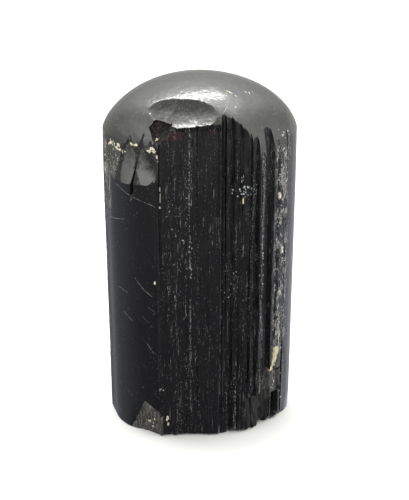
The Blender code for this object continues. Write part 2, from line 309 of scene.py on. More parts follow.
SATIN_BLACK = (0.006, 0.006, 0.006, 1)

# The finishes of the grains: their lightest and darkest colour.
GRAIN_FINISHES = {
    "cream_mica": ((0.62, 0.58, 0.46), (0.30, 0.27, 0.20)),
    "grey_mica": ((0.42, 0.43, 0.45), (0.12, 0.12, 0.13)),
    "feldspar": ((0.52, 0.46, 0.25), (0.40, 0.35, 0.18)),
    "ochre": ((0.46, 0.42, 0.22), (0.28, 0.25, 0.12)),
}

# How dull the stone is where the polish didn't reach, in the pits and at the scuff, and the floor's finish.
DULL_ROUGHNESS = 0.55
DULL_SPECULAR = 0.16
PIT_SPECULAR = 0.18
SCUFF_SHARE = 0.62
FLOOR_GREY = (0.62, 0.62, 0.62, 1)
FLOOR_ROUGHNESS = 0.9


class Wire:
    """A socket of a node tree. Sums written with wires add Math nodes to the tree."""

    def __init__(self, tree, socket):
        self.tree = tree
        self.socket = socket

    @classmethod
    def node(cls, tree, kind, settings=None, inputs=None, output=0):
        """Adds a node of any kind: its settings first, then the values or links of its sockets."""
        made = tree.nodes.new(kind)
        for name, value in (settings or {}).items():
            if name == "stops":
                fill_ramp(made.color_ramp, value)
            else:
                setattr(made, name, value)
        for name, value in (inputs or {}).items():
            if isinstance(value, Wire):
                tree.links.new(value.socket, made.inputs[name])
            else:
                made.inputs[name].default_value = value
        return cls(tree, made.outputs[output] if made.outputs else None)

    def other(self, output):
        """Another output of this wire's node."""
        return Wire(self.tree, self.socket.node.outputs[output])

    def math(self, operation, *values):
        return Wire.node(
            self.tree, "ShaderNodeMath", {"operation": operation}, dict(enumerate((self, *values)))
        )

    def vector_math(self, operation, *values):
        return Wire.node(
            self.tree, "ShaderNodeVectorMath", {"operation": operation}, dict(enumerate((self, *values)))
        )

    def __add__(self, value):
        return self.math("ADD", value)

    __radd__ = __add__

    def __sub__(self, value):
        return self.math("SUBTRACT", value)

    def __rsub__(self, value):
        return Wire.node(self.tree, "ShaderNodeMath", {"operation": "SUBTRACT"}, {0: value, 1: self})

    def __mul__(self, value):
        return self.math("MULTIPLY", value)

    __rmul__ = __mul__

    def __truediv__(self, value):
        return self.math("DIVIDE", value)

    def __rtruediv__(self, value):
        return Wire.node(self.tree, "ShaderNodeMath", {"operation": "DIVIDE"}, {0: value, 1: self})

    def __pow__(self, value):
        return self.math("POWER", value)

    def most(self, value):
        return self.math("MAXIMUM", value)

    def least(self, value):
        return self.math("MINIMUM", value)

    def between(self, low, high):
        """0 at low, 1 at high, smooth in between. It falls where low is the larger."""
        return Wire.node(
            self.tree,
            "ShaderNodeMapRange",
            {"interpolation_type": "SMOOTHSTEP"},
            {"Value": self, "From Min": low, "From Max": high},
        )

    def window(self, low, high, soft):
        """1 from low to high, with soft edges."""
        return self.between(low - soft, low + soft) * self.between(high + soft, high - soft)

    def mixed(self, colour_a, colour_b):
        """From colour_a to colour_b as this wire goes from 0 to 1."""
        return Wire.node(
            self.tree,
            "ShaderNodeMix",
            {"data_type": "RGBA"},
            {0: self, 6: colour_a, 7: colour_b},
            output=2,
        )


def fill_ramp(ramp, stops):
    """Sets a ramp to the stops, as place from 0 to 1 and grey value or colour."""
    while len(ramp.elements) < len(stops):
        ramp.elements.new(1.0)
    for element, (place, value) in zip(ramp.elements, stops):
        element.position = place
        element.color = value if isinstance(value, tuple) else (value, value, value, 1)


class Place:
    """Where a point of the stone is, for patterns: in millimetres from AXIS, and as a bearing in degrees."""

    def __init__(self, tree, point):
        self.tree = tree
        self.point = point.vector_math("SUBTRACT", AXIS).vector_math("MULTIPLY", (1000, 1000, 1000))
        across = Wire.node(tree, "ShaderNodeSeparateXYZ", {}, {0: self.point})
        self.x = across
        self.y = across.other(1)
        self.height = across.other(2)
        self.bearing = self.x.math("ARCTAN2", self.y * -1) * DEGREES
        self.outwards = self.point.vector_math("MULTIPLY", (1, 1, 0)).vector_math("NORMALIZE")

    def around(self, stops, wander=0.0):
        """A strength that changes round the column. wander shifts the bearings, in degrees.

        The product at the end makes the ramp's colour a number.
        """
        ramp = [((bearing + 180) / 360, share) for bearing, share in stops]
        share = (self.bearing + wander + 180) / 360
        return Wire.node(self.tree, "ShaderNodeValToRGB", {"stops": ramp}, {0: share}) * 1.0

    def lanes(self, lanes, wander):
        """Narrow upright lanes of their own strengths, with a low strength between them."""
        stops = [(lanes[0][0] - 8, 0.0)]
        for bearing, half_width, strength in lanes:
            stops.append((bearing - half_width, LANE_FLOOR))
            stops.append((bearing, strength))
            stops.append((bearing + half_width, LANE_FLOOR))
        stops.append((lanes[-1][0] + 4, 0.0))
        return self.around(stops, wander)

    def unrolled(self):
        """The side laid out flat: millimetres round the column, and height."""
        return Wire.node(
            self.tree, "ShaderNodeCombineXYZ", {}, {"X": self.bearing * MM_PER_DEGREE, "Y": self.height}
        )

    def hairs(self, angle, across, along, offset):
        """Noise of fine slanting lines on the side, at an angle in degrees from level."""
        turned_point = Wire.node(
            self.tree,
            "ShaderNodeVectorRotate",
            {"rotation_type": "Z_AXIS"},
            {"Vector": self.unrolled(), "Angle": math.radians(-angle)},
        )
        spread = turned_point.vector_math("MULTIPLY", (along, across, 1)).vector_math("ADD", (offset,) * 3)
        inputs = {"Vector": spread, "Scale": 1.0, "Detail": 2.0}
        return Wire.node(self.tree, "ShaderNodeTexNoise", {}, inputs)

    def scratch(self, start, end, half_width):
        """1 on a straight scratch between two places on the side, given as bearing and height."""
        first = Vector((start[0] * MM_PER_DEGREE, start[1], 0))
        run = Vector((end[0] * MM_PER_DEGREE, end[1], 0)) - first
        away = self.unrolled().vector_math("SUBTRACT", first)
        along = away.vector_math("DOT_PRODUCT", run).other(1) / run.length_squared
        along = along.most(0.0).least(1.0)
        nearest = Wire.node(
            self.tree, "ShaderNodeVectorMath", {"operation": "SCALE"}, {0: run, "Scale": along}
        )
        distance = away.vector_math("DISTANCE", nearest).other(1)
        return distance.between(half_width, half_width * 0.3)

    def crack(self, half_width):
        """1 on the crack in the left face."""
        top, bend, foot = CRACK
        return self.scratch(top, bend, half_width).most(self.scratch(bend, foot, half_width))

    def noise(self, across, along, detail=2.0, rough=0.5, offset=0.0):
        """Noise with so many lumps to a millimetre across the column and along it."""
        spread = self.point.vector_math("MULTIPLY", (across, across, along))
        moved = spread.vector_math("ADD", (offset, offset * 0.7, offset * 1.3))
        inputs = {"Vector": moved, "Scale": 1.0, "Detail": detail, "Roughness": rough}
        return Wire.node(self.tree, "ShaderNodeTexNoise", {}, inputs)

    def patch(self, bearing, height, half_bearing, half_height, ragged=0.0, wear=0.0):
        """1 inside an oval on the side, 0 outside it. ragged is a noise that breaks its edge by wear."""
        away = ((self.bearing - bearing) / half_bearing) ** 2 + ((self.height - height) / half_height) ** 2
        if wear:
            away = away + ragged * wear
        return away.between(1.25, 0.85)


def deselect():
    if bpy.context.mode != "OBJECT":
        bpy.ops.object.mode_set(mode="OBJECT")
    bpy.ops.object.select_all(action="DESELECT")


def make_active(piece):
    deselect()
    piece.select_set(True)
    bpy.context.view_layer.objects.active = piece


def name_piece(name):
    """Names the object that an operator has just added, and puts its place into its mesh."""
    piece = bpy.context.active_object
    piece.name = name
    piece.data.name = name
    bpy.ops.object.transform_apply(location=True, rotation=True, scale=True)
    return piece


def apply_modifier(piece, kind, **settings):
    make_active(piece)
    modifier = piece.modifiers.new(kind.lower(), kind)
    for name, value in settings.items():
        setattr(modifier, name, value)
    bpy.ops.object.modifier_apply(modifier=modifier.name)


def shape_by_nodes(piece, name, moved_point):
    """Moves every point of a piece to where moved_point puts it, by Geometry Nodes."""
    tree = bpy.data.node_groups.new(name, "GeometryNodeTree")
    tree.interface.new_socket("Geometry", in_out="INPUT", socket_type="NodeSocketGeometry")
    tree.interface.new_socket("Geometry", in_out="OUTPUT", socket_type="NodeSocketGeometry")
    start = Wire.node(tree, "NodeGroupInput")
    point = Wire.node(tree, "GeometryNodeInputPosition")
    moved = Wire.node(
        tree, "GeometryNodeSetPosition", {}, {"Geometry": start, "Position": moved_point(tree, point)}
    )
    Wire.node(tree, "NodeGroupOutput", {}, {0: moved})
    apply_modifier(piece, "NODES", node_group=tree)


def select_in_edit_mode(piece, edges_where):
    """Goes into edit mode with only those edges selected whose lower and upper ends pass the test."""
    deselect()
    mesh = piece.data
    points = [vertex.co.copy() for vertex in mesh.vertices]
    chosen_edges = [False] * len(mesh.edges)
    chosen_points = [False] * len(points)
    for number, edge in enumerate(mesh.edges):
        ends = tuple(edge.vertices)
        low, high = sorted((points[end] for end in ends), key=lambda point: point.z)
        if edges_where(low, high):
            chosen_edges[number] = True
            for end in ends:
                chosen_points[end] = True
    mesh.polygons.foreach_set("select", [False] * len(mesh.polygons))
    mesh.edges.foreach_set("select", chosen_edges)
    mesh.vertices.foreach_set("select", chosen_points)
    bpy.context.tool_settings.mesh_select_mode = (False, True, False)
    make_active(piece)
    bpy.ops.object.mode_set(mode="EDIT")


# ---------------------------------------------------------------------------------------------------------
# Shapes
# ---------------------------------------------------------------------------------------------------------


def solid_copy():
    """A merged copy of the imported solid, to wrap the column onto, with the bar in its main groove."""
    copy = bpy.data.objects.new("solid_copy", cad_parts[CRYSTAL_NODE].data.copy())
    bpy.context.scene.collection.objects.link(copy)
    make_active(copy)
    bpy.ops.object.mode_set(mode="EDIT")
    bpy.ops.mesh.select_all(action="SELECT")
    bpy.ops.mesh.remove_doubles(threshold=1e-6)
    bpy.ops.object.mode_set(mode="OBJECT")
    bar = groove_bar()
    make_active(copy)
    bar.select_set(True)
    bpy.ops.object.join()
    return copy


def groove_bar():
    """The bar that raises the main groove's floor. It stays below the surface on both sides of the groove."""
    middle_radius = GROOVE_FLOOR_RADIUS - GROOVE_BAR[1] / 2
    deselect()
    bpy.ops.mesh.primitive_cube_add(
        size=1,
        location=AXIS + outward(GROOVE_BEARING) * middle_radius + Vector((0, 0, GROOVE_BAR[2] / 2)),
        rotation=(math.radians(-GROOVE_LEAN), 0, math.radians(GROOVE_BEARING)),
        scale=GROOVE_BAR,
    )
    return name_piece("groove_bar")


def is_upright(low, high):
    return high.z - low.z > 10 * FOOT_GAP and (high.xy - low.xy).length < 0.002


def raise_band(column, bottom, top, rows):
    """Extrudes the column's top rim up to a height and divides the new band into rows."""
    select_in_edit_mode(column, lambda low, high: low.z > bottom - FOOT_GAP and high.z - low.z < FOOT_GAP)
    bpy.ops.mesh.extrude_region_move(TRANSFORM_OT_translate={"value": (0, 0, top - bottom)})
    divide_band(column, bottom, rows)


def divide_band(column, bottom, rows):
    select_in_edit_mode(column, lambda low, high: low.z > bottom - FOOT_GAP and is_upright(low, high))
    bpy.ops.mesh.subdivide(number_cuts=rows - 1)
    bpy.ops.object.mode_set(mode="OBJECT")


def close_end(column, height):
    """Fills the open rim at a height with one flat face."""
    select_in_edit_mode(column, lambda low, high: abs(low.z - height) < 1e-6 and abs(high.z - height) < 1e-6)
    bpy.ops.mesh.edge_face_add()
    bpy.ops.object.mode_set(mode="OBJECT")


def side_relief(place):
    """How far the natural sides stand out of the plain solid, in millimetres."""
    fine = place.around(FINE_RIBS)
    broad = place.around(BROAD_RIBS)
    crust = place.around(CRUST)
    ribs = (place.noise(1.25, 0.018, 3.0, 0.6) - 0.5) * fine * RIB_RELIEF
    swells = (place.noise(0.30, 0.010, 2.0, 0.5, 31.0) - 0.5) * broad * SWELL_RELIEF
    plates = place.noise(0.85, 0.055, 2.0, 0.55, 57.0).between(0.50, 0.56) * fine * PLATE_DEPTH
    breaks = place.noise(0.55, 0.080, 3.0, 0.6, 83.0).between(0.60, 0.63) * fine * BREAK_DEPTH
    lumps = (place.noise(1.1, 0.8, 3.0, 0.6, 11.0) - 0.5) * crust * CRUST_LUMPS
    grain = (place.noise(2.6, 2.0, 2.0, 0.6, 23.0) - 0.5) * (crust * CRUST_GRAIN + PLAIN_GRAIN)
    chipped = broken_share(place)
    splinters = (place.noise(1.6, 0.35, 3.0, 0.6, 41.0) - 0.5) * chipped * SPLINTERS
    front_panel = place.bearing.window(*LIP_BEARINGS, 0.3)
    under_lip = front_panel * place.height.between(LIP_HEIGHT + LIP_EDGE, LIP_HEIGHT)
    overhang = (1 - under_lip) * front_panel * LIP_OVERHANG
    overhang = overhang * place.height.between(LIP_HEIGHT - LIP_START, LIP_HEIGHT)
    filled = 0.0
    for start, end, depth in SHALLOWER_GROOVES:
        filled = place.bearing.window(start, end, GROOVE_EDGE) * depth + filled
    for start, end, rise in PLAIN_FACES:
        face = place.bearing.window(start + PLAIN_FACE_INSET, end - PLAIN_FACE_INSET, PLAIN_FACE_EDGE)
        filled = face * rise + filled
    crack = place.crack(CRACK_HALF_WIDTH) * CRACK_DEPTH
    return ribs + swells - plates - breaks + lumps + grain + splinters + overhang + filled - crack


def broken_share(place):
    """How freshly broken the foot is, all in all."""
    corner, ledge, recess = broken_parts(place)
    return corner.most(ledge * LEDGE_SHARE).most(recess * RECESS_SHARE)


def broken_parts(place):
    """Where the stone is freshly broken at its foot: the corner chip, the ledge and the recess under it."""
    ragged = place.noise(0.9, 0.6, 3.0, 0.6, 5.0) - 0.5
    left_foot, top, right_shoulder = CORNER_CHIP
    left_slope = (place.bearing - left_foot[0]) * slope(left_foot, top)
    right_slope = top[1] + (place.bearing - top[0]) * slope(top, right_shoulder)
    corner = (left_slope.least(right_slope) + ragged * 2.6 - place.height).between(-0.4, 0.6)
    corner = corner * place.bearing.between(right_shoulder[0] + 0.6, right_shoulder[0] - 0.2)
    ledge = place.patch(60.5, 12.0, 8.6, 4.8, ragged, 2.2)
    recess = place.bearing.window(34.5, 57.5, 0.5) * (place.height + ragged * 2.6).between(10.4, 9.4)
    return corner, ledge, recess


def slope(low, high):
    """How many millimetres a line climbs to a degree."""
    return (high[1] - low[1]) / (high[0] - low[0])


def build_column(material):
    """The natural column before the dome is cut: wrapped onto the solid, then drawn up straight."""
    first_top, first_rows = WRAPPED_BANDS[0]
    deselect()
    bpy.ops.mesh.primitive_cylinder_add(
        vertices=COLUMN_LINES,
        radius=WRAP_RADIUS,
        depth=first_top - FOOT_GAP,
        end_fill_type="NOTHING",
        location=(AXIS.x, AXIS.y, (first_top + FOOT_GAP) / 2),
    )
    column = name_piece("tourmaline")
    divide_band(column, FOOT_GAP, first_rows)
    bottom = first_top
    for top, rows in WRAPPED_BANDS[1:]:
        raise_band(column, bottom, top, rows)
        bottom = top
    solid = solid_copy()
    apply_modifier(
        column,
        "SHRINKWRAP",
        target=solid,
        wrap_method="PROJECT",
        use_negative_direction=True,
        use_positive_direction=False,
    )
    bpy.data.objects.remove(solid)
    for top, rows in STRAIGHT_BANDS:
        raise_band(column, bottom, top, rows)
        bottom = top
    smooth_plain_faces(column)
    shape_by_nodes(column, "side relief", moved_side_point)
    select_in_edit_mode(column, lambda low, high: high.z < 1.5 * FOOT_GAP)
    bpy.ops.mesh.extrude_region_move(TRANSFORM_OT_translate={"value": (0, 0, -FOOT_GAP)})
    close_end(column, 0)
    close_end(column, bottom)
    column.data.materials.append(material)
    return column


def smooth_plain_faces(column):
    bearings = [
        math.degrees(math.atan2(point.co.x - AXIS.x, AXIS.y - point.co.y)) for point in column.data.vertices
    ]
    for low, high, _ in PLAIN_FACES:
        group = column.vertex_groups.new(name="plain_face")
        group.add([number for number, bearing in enumerate(bearings) if low < bearing < high], 1.0, "REPLACE")
        apply_modifier(
            column, "SMOOTH", factor=0.5, iterations=PLAIN_FACE_PASSES, use_z=False, vertex_group=group.name
        )


def moved_side_point(tree, point):
    place = Place(tree, point)
    steps = place.outwards.vector_math("SCALE")
    tree.links.new((side_relief(place) * MM).socket, steps.socket.node.inputs["Scale"])
    return point.vector_math("ADD", steps)


def moved_dome_point(tree, point):
    """Where a point of the unit ball goes: its upper half to the dome, its lower half to the skirt."""
    parts = Wire.node(tree, "ShaderNodeSeparateXYZ", {}, {0: point})
    x = parts
    y = parts.other(1)
    up = parts.other(2)
    flat = point.vector_math("MULTIPLY", (1, 1, 0)).vector_math("NORMALIZE")
    flat_parts = Wire.node(tree, "ShaderNodeSeparateXYZ", {}, {0: flat})
    flat_x = flat_parts
    flat_y = flat_parts.other(1)
    bearing = x.math("ARCTAN2", y * -1) * DEGREES
    at_front = flat_y.math("LESS_THAN", 0.0)
    reach = DOME_BACK_REACH + at_front * (DOME_FRONT_REACH - DOME_BACK_REACH)
    squares = (flat_x / DOME_HALF_WIDTH) ** 2 + (flat_y / reach) * (flat_y / reach)
    full = 1 / squares.math("SQRT")
    above = up.most(0.0)
    below = (up * -1).most(0.0)
    share = (1 - above**DOME_FULLNESS).most(0.0) ** (1 / DOME_FULLNESS)
    flare = (below - SKIRT_STRAIGHT / SKIRT_DEPTH).most(0.0) * SKIRT_FLARE
    height = DOME_SPRING + above * DOME_RISE - below * SKIRT_DEPTH
    worn = 0.0
    for at, half_width, level, half_height, depth in DOME_FLATS:
        worn = worn + dip(turned(bearing, at), half_width) * dip(height - level, half_height) * depth
    radius = full * (share + flare)
    radius = (radius - worn.least(radius * 0.5)) * MM
    pole = up.math("ABSOLUTE").between(*POLE_BAND)
    steps = flat.vector_math("SCALE")
    tree.links.new((radius * pole).socket, steps.socket.node.inputs["Scale"])
    lift = Wire.node(tree, "ShaderNodeCombineXYZ", {}, {"X": AXIS.x, "Y": AXIS.y, "Z": height * MM})
    return steps.vector_math("ADD", lift)


def turned(bearing, at):
    """The bearing counted from another, between -180 and 180."""
    return bearing.math("SUBTRACT", at).math("WRAP", 180.0, -180.0)


def dip(distance, half_width):
    """1 in the middle, falling smoothly to 0 at half_width."""
    near = (distance / half_width).math("ABSOLUTE").least(1.0)
    rest = 1 - near * near
    return rest * rest


def build_dome(material):
    deselect()
    bpy.ops.mesh.primitive_uv_sphere_add(segments=DOME_SEGMENTS, ring_count=DOME_RINGS, radius=1)
    dome = name_piece("dome")
    shape_by_nodes(dome, "dome", moved_dome_point)
    dome.data.materials.append(material)
    return dome


def outward(bearing):
    """The level unit vector that points along a bearing."""
    angle = math.radians(bearing)
    return Vector((math.sin(angle), -math.cos(angle), 0))


def build_scoop(number, scoop, material):
    """The long ball that leaves a hollow of the scoop. Its ends are its poles, so that its rings are even."""
    bearing, radius, z, elevation, roll, depth = scoop
    rise = math.radians(elevation)
    toward = outward(bearing) * math.cos(rise) + Vector((0, 0, math.sin(rise)))
    middle = AXIS + outward(bearing) * radius + Vector((0, 0, z))
    turn = Matrix.Rotation(math.radians(bearing), 4, "Z")
    lean = Matrix.Rotation(math.radians(90) - rise, 4, "X")
    level = Matrix.Rotation(math.radians(roll), 4, "Z") @ Matrix.Rotation(math.radians(90), 4, "Y")
    deselect()
    bpy.ops.mesh.primitive_uv_sphere_add(
        segments=SCOOP_SEGMENTS,
        ring_count=SCOOP_RINGS,
        radius=1,
        location=middle + toward * (SCOOP_HALF_WIDTH - depth),
        rotation=(turn @ lean @ level).to_euler(),
        scale=(SCOOP_HALF_WIDTH, SCOOP_HALF_WIDTH, SCOOP_HALF_LENGTH),
    )
    ball = name_piece(f"scoop_{number}")
    shape_by_nodes(ball, "uneven scoop", roughened(*SCOOP_UNEVENNESS))
    ball.data.materials.append(material)
    return ball


def roughened(amount, lumps):
    """A rule that moves points by noise: amount in millimetres, lumps to a millimetre."""

    def moved(tree, point):
        place = Place(tree, point)
        spread = place.point.vector_math("MULTIPLY", (lumps, lumps, lumps * 0.6))
        shake = Wire.node(tree, "ShaderNodeTexNoise", {}, {"Vector": spread, "Scale": 1.0, "Detail": 2.0}, 1)
        centred = shake.vector_math("SUBTRACT", (0.5, 0.5, 0.5))
        return point.vector_math("ADD", centred.vector_math("MULTIPLY", (amount * MM,) * 3))

    return moved


def build_pit(number, pit, material):
    """A ragged lump that leaves a broken hollow."""
    bearing, radius, z, half_width, half_depth, half_height, lean = pit
    deselect()
    bpy.ops.mesh.primitive_ico_sphere_add(
        subdivisions=4,
        radius=1,
        location=AXIS + outward(bearing) * radius + Vector((0, 0, z)),
        rotation=(math.radians(-lean), 0, math.radians(bearing)),
        scale=(half_width, half_depth, half_height),
    )
    lump = name_piece(f"pit_{number}")
    shape_by_nodes(lump, "ragged pit", roughened(*PIT_UNEVENNESS))
    lump.data.materials.append(material)
    return lump


def cut(piece, cutter, operation):
    apply_modifier(
        piece,
        "BOOLEAN",
        operation=operation,
        object=cutter,
        solver="EXACT",
        use_hole_tolerant=True,
        material_mode="TRANSFER",
    )
    bpy.data.objects.remove(cutter)


def grain_shapes():
    """A few lumps, each an uneven ball of its own, to be copied as grains."""
    shapes = []
    for number in range(GRAIN_SHAPES):
        deselect()
        bpy.ops.mesh.primitive_ico_sphere_add(subdivisions=2, radius=1)
        lump = name_piece(f"grain_{number}")
        lump.data.transform(Matrix.Translation((7.0 * number, 0, 0)))
        shape_by_nodes(lump, "uneven grain", uneven_grain)
        lump.data.transform(Matrix.Translation((-7.0 * number, 0, 0)))
        shapes.append(lump)
    return shapes


def uneven_grain(tree, point):
    shake = Wire.node(tree, "ShaderNodeTexNoise", {}, {"Vector": point, "Scale": 0.9, "Detail": 2.0}, 1)
    centred = shake.vector_math("SUBTRACT", (0.5, 0.5, 0.5))
    return point.vector_math("ADD", centred.vector_math("MULTIPLY", (GRAIN_UNEVENNESS,) * 3))


def strew_grains(crystal, finishes):
    """Sets the grains into the surface where a line from outside meets it, and joins them to the piece."""
    chance = random.Random(GRAIN_SEED)
    surface = BVHTree.FromObject(crystal, bpy.context.evaluated_depsgraph_get())
    shapes = grain_shapes()
    places = []
    for finish, bearing, height, spread, rise, count, half_width, half_height, lean in GRAINS:
        for _ in range(count):
            at = bearing + chance.uniform(-spread, spread)
            level = (height + chance.uniform(-rise, rise)) * MM
            start = AXIS + outward(at) * GRAIN_OUTSIDE + Vector((0, 0, level))
            size = chance.uniform(*GRAIN_SIZES)
            places.append((finish, start, -outward(at), half_width * size, half_height * size, lean, True))
    for finish, bearing, radius, half_width, half_height, lean in DOME_GRAINS:
        start = AXIS + outward(bearing) * radius * MM + Vector((0, 0, GRAIN_ABOVE))
        places.append((finish, start, Vector((0, 0, -1)), half_width, half_height, lean, False))
    grains = []
    for finish, start, way, half_width, half_height, lean, leans_either_way in places:
        spot, normal, _, _ = surface.ray_cast(start, way)
        if spot is None:
            continue
        angle = math.radians(chance.uniform(-lean, lean) if leans_either_way else lean)
        size = Vector((half_width, half_height, min(half_width, half_height) * GRAIN_THICKNESS)) * MM
        facing = normal.to_track_quat("Z", "Y").to_matrix().to_4x4()
        model = chance.choice(shapes)
        grain = bpy.data.objects.new("grain", model.data.copy())
        bpy.context.scene.collection.objects.link(grain)
        grain.data.transform(
            Matrix.Translation(spot) @ facing @ Matrix.Rotation(angle, 4, "Z") @ Matrix.Diagonal((*size, 1))
        )
        grain.data.materials.append(finishes[finish])
        grains.append(grain)
    for model in shapes:
        bpy.data.objects.remove(model)
    make_active(crystal)
    for grain in grains:
        grain.select_set(True)
    bpy.ops.object.join()


def mark_material_edges(piece):
    """Makes the edges between materials sharp, and smooths the rest below an angle."""
    make_active(piece)
    bpy.ops.object.shade_smooth_by_angle(angle=math.radians(SMOOTH_ANGLE), keep_sharp_edges=True)
    for slot in range(len(piece.material_slots)):
        piece.active_material_index = slot
        bpy.ops.object.mode_set(mode="EDIT")
        bpy.ops.mesh.select_all(action="DESELECT")
        bpy.ops.object.material_slot_select()
        bpy.ops.mesh.region_to_loop()
        bpy.ops.mesh.mark_sharp()
        bpy.ops.object.mode_set(mode="OBJECT")


# ---------------------------------------------------------------------------------------------------------
# Materials. Each noise is given as its lumps to a millimetre across and along, its detail, its roughness,
# and an offset that makes it a pattern of its own.
# ---------------------------------------------------------------------------------------------------------


def new_material(name, ior):
    """A material with one Principled shader. Gives the material, its tree and the place on the stone."""
    material = bpy.data.materials.new(name)
    material.use_nodes = True
    tree = material.node_tree
    shader = tree.nodes["Principled BSDF"]
    shader.inputs["IOR"].default_value = ior
    place = Place(tree, Wire.node(tree, "ShaderNodeTexCoord", {}, {}, output=3))
    return material, tree, place


def plug(tree, socket, wire):
    tree.links.new(wire.socket, tree.nodes["Principled BSDF"].inputs[socket])


def bumped(height, distance):
    """A normal from a height: distance in millimetres."""
    inputs = {"Height": height, "Distance": distance * MM, "Strength": 1.0}
    return Wire.node(height.tree, "ShaderNodeBump", {}, inputs)


def natural_schorl():
    material, tree, place = new_material("natural_schorl", SCHORL_IOR)
    fine = place.around(FINE_RIBS)
    worn_edge = place.bearing.window(-90, -66, 5.0) * place.height.between(46.0, 72.0) * 0.5
    bare_foot = place.bearing.window(50, 90, 2.0) * place.height.between(25.0, 18.0)
    crust = place.around(CRUST).most(worn_edge) * (1 - bare_foot * 0.9)
    corner, ledge, recess = broken_parts(place)
    broken = corner.most(ledge * LEDGE_SHARE)
    recess = recess * (1 - ledge)
    wander = (place.noise(0.10, 0.05, 2.0, 0.6, 17.0) - 0.5) * 3.0
    lanes = place.lanes(FRONT_LANES, wander) + place.lanes(SIDE_LANES, wander)
    behind = place.bearing.math("ABSOLUTE").between(92, 100)
    lanes = lanes + behind * place.noise(0.6, 0.012, 1.0, 0.5, 61.0).between(0.48, 0.70) * 0.6
    gathered = place.noise(0.40, 0.06, 3.0, 0.6, 37.0).between(0.36, 0.60)
    density = (lanes * gathered).least(1.0)
    coarse = place.noise(2.5, 1.0, 2.0, 0.6, 19.0)
    small = place.noise(4.4, 2.4, 1.0, 0.5, 29.0)
    streaks = place.noise(2.8, 0.07, 3.0, 0.6, 7.0)
    dashes = place.noise(4.0, 0.14, 2.0, 0.6, 101.0)
    glints = place.noise(1.1, 0.6, 2.0, 0.6, 53.0).between(0.35, 0.70) * 0.75 + 0.25
    specks = (coarse + density * 0.22 + (streaks - 0.5) * 0.20).between(0.72, 0.83) * glints
    dust = (small + density * 0.26).between(0.71, 0.84) * 0.6
    clotted = place.noise(0.55, 0.22, 3.0, 0.65, 59.0).between(0.38, 0.60)
    flecks = (coarse * 0.45 + small * 0.55 + clotted * 0.14).between(0.58, 0.67)
    flecks = flecks * crust.between(0.10, 0.55) * (0.10 + clotted * 0.90) * glints
    ribbed = fine.between(0.10, 0.40)
    threads = (dashes + density * 0.13 + (streaks - 0.5) * 0.25).between(0.635, 0.755) * ribbed
    threads = threads * (small + coarse).between(0.88, 1.12)
    pale = specks.most(dust).most(flecks).least(1.0)
    left = place.bearing.window(-76, -27, 1.0)
    hairs = place.hairs(-34, 3.4, 0.10, 3.0).between(0.68, 0.74)
    hairs = hairs * place.noise(0.09, 0.07, 1.0).between(0.5, 0.6)
    scratched = hairs * left * 0.5
    for start, end in SCRATCHES:
        scratched = scratched.most(place.scratch(start, end, SCRATCH_HALF_WIDTH))
    scratched = scratched * small.between(0.35, 0.65) * 0.7
    fibres = place.noise(2.2, 0.22, 3.0, 0.65, 33.0)
    stone = fibres.between(0.42, 0.68).mixed(SATIN_BLACK, BROKEN_LIGHT)
    stone = coarse.between(0.60, 0.72).mixed(stone, BROKEN_GLINT)
    # Painted shade: the recess under the ledge gets darker copies of the broken stone's fibres.
    shaded = fibres.between(0.46, 0.72).mixed(SHADED_RECESS_DARK, SHADED_RECESS_LIGHT)
    tan = place.noise(0.35, 0.12, 2.0, 0.5, 77.0).between(0.50, 0.62) * crust
    mica = (crust * 0.8).mixed(MICA_DARK, MICA_LIGHT)
    mica = tan.mixed(mica, MICA_TAN)
    # Painted reddish light: two patches under the lip of the dome, where the thin edges show red.
    red = place.patch(-19.0, 86.6, 6.5, 1.2, coarse - 0.5, 5.0).most(place.patch(9.0, 87.8, 4.0, 0.5) * 0.5)
    buff = place.patch(*FELDSPAR_PATCH[0], coarse - 0.5, FELDSPAR_RAGGED)
    for oval in FELDSPAR_PATCH[1:]:
        buff = buff.most(place.patch(*oval, coarse - 0.5, FELDSPAR_RAGGED))
    colour = (red * (0.3 + coarse * 0.6)).mixed(SCHORL_BLACK, PAINTED_RED_LIGHT)
    colour = (threads * 0.9).mixed(colour, THREAD_GREY)
    colour = pale.mixed(colour, mica)
    colour = scratched.mixed(colour, SCRATCH_GREY)
    colour = broken.mixed(colour, stone)
    colour = buff.mixed(colour, small.between(0.35, 0.65).mixed(BUFF_DARK, BUFF_LIGHT))
    plug(tree, "Base Color", colour)
    dull = pale.most(broken).most(scratched).most(threads * 0.6).most(buff)
    plug(tree, "Roughness", 0.20 + (streaks - 0.5) * 0.20 + dull * 0.42)
    ridges = place.noise(1.6, 0.025, 3.0, 0.65, 3.0) * (fine * 0.9 + 0.01)
    grit = coarse * (crust * 0.9 + broken + density * 0.3 + 0.02) + fibres * (broken + recess * 0.8)
    grit = grit + buff * (0.8 + small * 0.4)
    plug(tree, "Normal", bumped(ridges + grit, 0.34))
    # The recess is made dull and given its painted-shade colours.
    mix_in_dull(tree, recess * 0.9, shaded)
    return material


